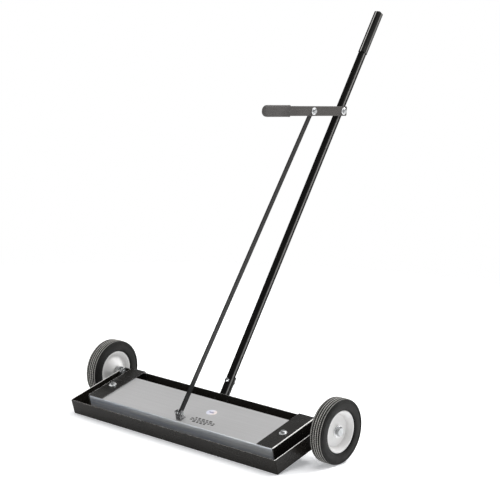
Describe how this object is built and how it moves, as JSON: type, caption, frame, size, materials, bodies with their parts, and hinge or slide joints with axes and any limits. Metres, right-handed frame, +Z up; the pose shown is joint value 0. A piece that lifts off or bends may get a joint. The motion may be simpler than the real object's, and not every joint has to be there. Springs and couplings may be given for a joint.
{
  "type": "magnetic nail sweeper",
  "caption": "Push-along magnetic nail sweeper: a magnet bar in a shallow tray on two wheels, with a long handle and a hand lever whose link lifts the bar out of the tray to drop its catch.",
  "frame": {"origin": "on the floor, under the middle of the bounding box", "axes": "+Z up, +X along the tray towards the right wheel as the person pushing sees it from behind, -Y towards the nose of the tray, +Y towards the person pushing"},
  "size_m": [0.9, 0.9044, 1.1928],
  "materials": {
    "black_paint": "satin black powder coat, slightly warm",
    "gloss_black_paint": "gloss black enamel",
    "grey_paint": "dark grey satin paint",
    "black_vinyl": "soft black dipped vinyl, satin",
    "grey_vinyl": "soft dark grey dipped vinyl, matt",
    "brushed_aluminium": "brushed along the bar",
    "stainless_steel": "cold rolled stainless sheet",
    "plain_steel": "oiled plain steel",
    "zinc_plate": "bright zinc plating",
    "ferrite": "matt pressed ferrite",
    "tyre_rubber": "dull solid rubber",
    "hub_white": "off-white moulded plastic, satin"
  },
  "bodies": {
    "deck": {"debris_tray": "black_paint", "handle_bracket": "black_paint", "bracket_rivet_left": "black_paint", "bracket_rivet_right": "black_paint", "handle_tube": "gloss_black_paint", "handle_grip": "black_vinyl", "handle_bolt": "zinc_plate", "handle_bolt_nut": "zinc_plate", "hinge_leaf_left": "black_paint", "hinge_leaf_right": "black_paint", "hinge_pin_left": "zinc_plate", "hinge_pin_right": "zinc_plate", "hinge_rivet_left": "black_paint", "hinge_rivet_right": "black_paint", "axle_bolt_left": "zinc_plate", "axle_bolt_right": "zinc_plate", "axle_outer_washer_left": "zinc_plate", "axle_outer_washer_right": "zinc_plate", "axle_spacer_left": "zinc_plate", "axle_spacer_right": "zinc_plate", "axle_lock_nut_left": "zinc_plate", "axle_lock_nut_right": "zinc_plate", "axle_inner_nut_left": "zinc_plate", "axle_inner_nut_right": "zinc_plate", "lever_pivot_bolt": "zinc_plate", "lever_pivot_nut": "zinc_plate", "lever_pivot_washer": "zinc_plate", "lever_spacer_washer": "zinc_plate"},
    "magnet_bar": {"magnet_cover": "brushed_aluminium", "magnet_face_plate": "stainless_steel", "magnet_back_plate": "plain_steel", "magnet_block_1": "ferrite", "magnet_block_2": "ferrite", "magnet_block_3": "ferrite", "magnet_block_4": "ferrite", "end_strap_left": "black_paint", "end_strap_right": "black_paint", "strap_bolt_left": "zinc_plate", "strap_bolt_right": "zinc_plate", "strap_washer_left": "zinc_plate", "strap_washer_right": "zinc_plate", "lift_clevis": "zinc_plate", "clevis_screw": "zinc_plate", "clevis_pin_bolt": "zinc_plate", "clevis_pin_nut": "zinc_plate", "clevis_spacer": "zinc_plate"},
    "lever": {"lift_lever": "grey_paint", "lever_grip": "grey_vinyl", "link_bolt": "zinc_plate", "link_bolt_nut": "zinc_plate", "link_bolt_washer": "zinc_plate"},
    "link": {"lift_link": "grey_paint"},
    "wheel_left": {"wheel_left_tyre": "tyre_rubber", "wheel_left_hub": "hub_white", "wheel_left_bushing": "plain_steel"},
    "wheel_right": {"wheel_right_tyre": "tyre_rubber", "wheel_right_hub": "hub_white", "wheel_right_bushing": "plain_steel"}
  },
  "joints": [
    {"name": "bar_lift", "type": "hinge", "parent": "deck", "child": "magnet_bar", "pos_m": [0, -0.23945, 0.10622], "axis": [-1, 0, 0], "range_deg": [0, 20]},
    {"name": "lever_pivot", "type": "hinge", "parent": "deck", "child": "lever", "pos_m": [0, 0.26476, 0.89348], "axis": [-1, 0, 0], "range_deg": [0, 21.5]},
    {"name": "link_pivot", "type": "hinge", "parent": "lever", "child": "link", "pos_m": [0, 0.11992, 0.90031], "axis": [1, 0, 0], "range_deg": [0, 20.8]},
    {"name": "wheel_left_spin", "type": "hinge", "parent": "deck", "child": "wheel_left", "pos_m": [-0.429, -0.24502, 0.09141], "axis": [1, 0, 0], "continuous": true},
    {"name": "wheel_right_spin", "type": "hinge", "parent": "deck", "child": "wheel_right", "pos_m": [0.429, -0.24502, 0.09141], "axis": [1, 0, 0], "continuous": true}
  ],
  "couplings": [
    {"joint": "lever_pivot", "follows": "bar_lift", "ratio": 1.074},
    {"joint": "link_pivot", "follows": "bar_lift", "ratio": 1.036}
  ]
}
